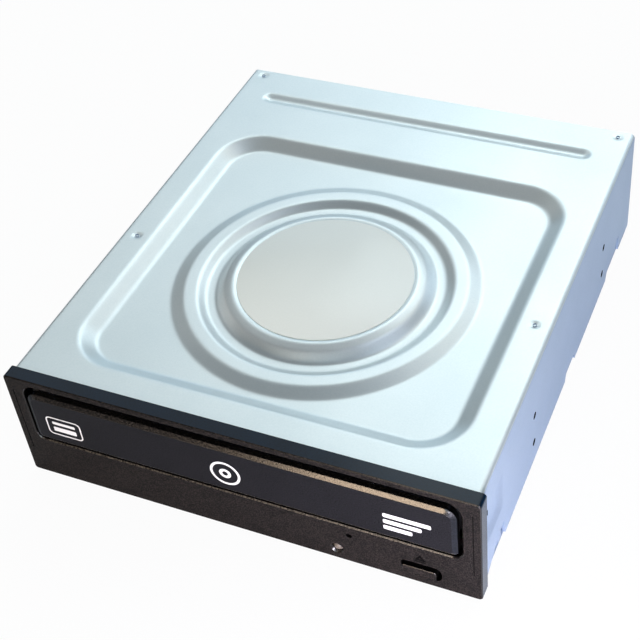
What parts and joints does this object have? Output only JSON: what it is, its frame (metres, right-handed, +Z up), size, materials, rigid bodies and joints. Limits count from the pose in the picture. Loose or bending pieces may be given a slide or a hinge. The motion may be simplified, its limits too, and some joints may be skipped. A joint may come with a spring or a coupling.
{
  "type": "internal optical disc drive",
  "caption": "Half-height internal disc writer: pressed steel covers, black bezel, sliding disc tray, tilting traverse with spindle and pickup, clamper.",
  "frame": {"origin": "centre of the footprint at the lowest level, which is the bezel's bottom edge", "axes": "+X to the right seen from the front, +Y from the bezel to the rear connector, +Z up through the top cover"},
  "size_m": [0.148, 0.1704, 0.042],
  "materials": {
    "cover_steel": "galvanised satin",
    "cover_disc": "smooth off-white",
    "bezel_plastic": "fine texture black",
    "clear_plastic": "clear lens",
    "frame_plastic": "moulded black",
    "tray_plastic": "moulded dark grey",
    "bridge_steel": "galvanised",
    "white_plastic": "moulded natural",
    "pulley_brass": "turned",
    "motor_steel": "zinc plated",
    "polished_steel": "ground bright",
    "rubber": "matt black",
    "hub_plastic": "moulded black",
    "magnet": "sintered dark",
    "copper": "wound copper",
    "pickup_metal": "die cast",
    "lens_glass": "clear",
    "board_green": "solder mask",
    "chip_black": "moulded",
    "capacitor_metal": "plain can",
    "ribbon_white": "flat cable",
    "switch_plastic": "moulded",
    "screw_steel": "zinc plated"
  },
  "bodies": {
    "drive_body": {"top_cover": "cover_steel", "bottom_cover": "cover_steel", "cover_disc": "cover_disc", "bezel": "bezel_plastic", "light_pipe": "clear_plastic", "loader_frame": "frame_plastic", "clamp_bridge": "bridge_steel", "loading_motor": "motor_steel", "drive_belt": "rubber", "main_board": "board_green", "sata_connector": "chip_black", "main_chip": "chip_black", "driver_chip": "chip_black", "capacitors": "capacitor_metal", "front_board": "board_green", "tact_switch": "chip_black", "indicator_led": "clear_plastic", "front_ribbon": "ribbon_white", "pickup_ribbon": "ribbon_white", "ribbon_socket": "chip_black", "case_screws": "screw_steel", "bridge_screws": "screw_steel", "board_screws": "screw_steel", "motor_screws": "screw_steel"},
    "tray": {"tray": "tray_plastic", "tray_door": "bezel_plastic"},
    "eject_button": {"eject_button": "bezel_plastic"},
    "switch_plunger": {"switch_plunger": "switch_plastic"},
    "cam_slider": {"cam_slider": "white_plastic"},
    "lifter": {"lifter_frame": "frame_plastic", "traverse_plate": "bridge_steel", "damper_front_left": "rubber", "damper_front_right": "rubber", "damper_rear_left": "rubber", "damper_rear_right": "rubber", "damper_screws": "screw_steel", "motor_base": "bridge_steel", "motor_stator": "copper", "guide_rod_left": "polished_steel", "guide_rod_right": "polished_steel", "sled_motor": "motor_steel"},
    "turntable": {"rotor_yoke": "motor_steel", "spindle_shaft": "polished_steel", "turntable": "hub_plastic", "turntable_pad": "rubber", "centring_hub": "hub_plastic"},
    "pickup": {"pickup_body": "pickup_metal", "pickup_cover": "pickup_metal", "feed_nut": "white_plastic"},
    "lens": {"lens_holder": "hub_plastic", "objective_lens": "lens_glass"},
    "lead_screw": {"lead_screw": "polished_steel"},
    "clamper": {"clamper": "white_plastic", "clamper_magnet": "magnet", "clamper_yoke": "motor_steel"},
    "motor_pulley": {"motor_pulley": "pulley_brass"},
    "pulley_gear": {"pulley_gear": "white_plastic"},
    "idler_gear": {"idler_gear": "white_plastic"},
    "drive_gear": {"drive_gear": "white_plastic"}
  },
  "joints": [
    {"name": "tray_slide", "type": "slide", "parent": "drive_body", "child": "tray", "axis": [0, -1, 0], "range_m": [0, 0.135]},
    {"name": "drive_gear_spin", "type": "hinge", "parent": "drive_body", "child": "drive_gear", "pos_m": [-0.045, -0.0643, 0.012], "axis": [0, 0, 1], "range_deg": [0, 972]},
    {"name": "idler_gear_spin", "type": "hinge", "parent": "drive_body", "child": "idler_gear", "pos_m": [-0.02939, -0.06081, 0.01], "axis": [0, 0, 1], "range_deg": [-2262, 0]},
    {"name": "pulley_gear_spin", "type": "hinge", "parent": "drive_body", "child": "pulley_gear", "pos_m": [-0.01277, -0.06332, 0.012], "axis": [0, 0, 1], "range_deg": [0, 5646]},
    {"name": "motor_pulley_spin", "type": "hinge", "parent": "drive_body", "child": "motor_pulley", "pos_m": [0.012, -0.0603, 0.015], "axis": [0, 0, 1], "range_deg": [0, 18179]},
    {"name": "eject_press", "type": "slide", "parent": "drive_body", "child": "eject_button", "axis": [0, 1, 0], "range_m": [0, 0.0008], "stiffness_N_per_m": 300, "springref_m": -0.002},
    {"name": "switch_press", "type": "slide", "parent": "drive_body", "child": "switch_plunger", "axis": [0, 1, 0], "range_m": [0, 0.00026]},
    {"name": "lifter_tilt", "type": "hinge", "parent": "drive_body", "child": "lifter", "pos_m": [0, 0.0637, 0.0137], "axis": [-1, 0, 0], "range_deg": [0, 4.8]},
    {"name": "cam_slide", "type": "slide", "parent": "drive_body", "child": "cam_slider", "axis": [-1, 0, 0], "range_m": [0, 0.0221]},
    {"name": "turntable_spin", "type": "hinge", "parent": "lifter", "child": "turntable", "pos_m": [0, -0.01639, 0.02333], "axis": [0, -0.0837, 0.9965], "continuous": true},
    {"name": "pickup_slide", "type": "slide", "parent": "lifter", "child": "pickup", "axis": [0, 0.9965, 0.0837], "range_m": [0, 0.034]},
    {"name": "lead_screw_spin", "type": "hinge", "parent": "lifter", "child": "lead_screw", "pos_m": [0.036, 0.02526, 0.0173], "axis": [0, 0.9965, 0.0837], "range_deg": [0, 4086]},
    {"name": "lens_focus", "type": "slide", "parent": "pickup", "child": "lens", "axis": [0, -0.0837, 0.9965], "range_m": [-0.0005, 0.0005], "stiffness_N_per_m": 60},
    {"name": "clamper_spin", "type": "hinge", "parent": "drive_body", "child": "clamper", "pos_m": [0, -0.0153, 0.0309], "axis": [0, 0, 1], "continuous": true}
  ],
  "couplings": [
    {"joint": "drive_gear_spin", "follows": "tray_slide", "rad_per_m": 125},
    {"joint": "idler_gear_spin", "follows": "tray_slide", "rad_per_m": -291.67},
    {"joint": "pulley_gear_spin", "follows": "tray_slide", "rad_per_m": 729.17},
    {"joint": "motor_pulley_spin", "follows": "tray_slide", "rad_per_m": 2349.5},
    {"joint": "switch_press", "follows": "eject_press", "ratio": 0.3125},
    {"joint": "cam_slide", "follows": "lifter_tilt", "m_per_rad": 0.26261},
    {"joint": "lead_screw_spin", "follows": "pickup_slide", "rad_per_m": 2094.4}
  ]
}
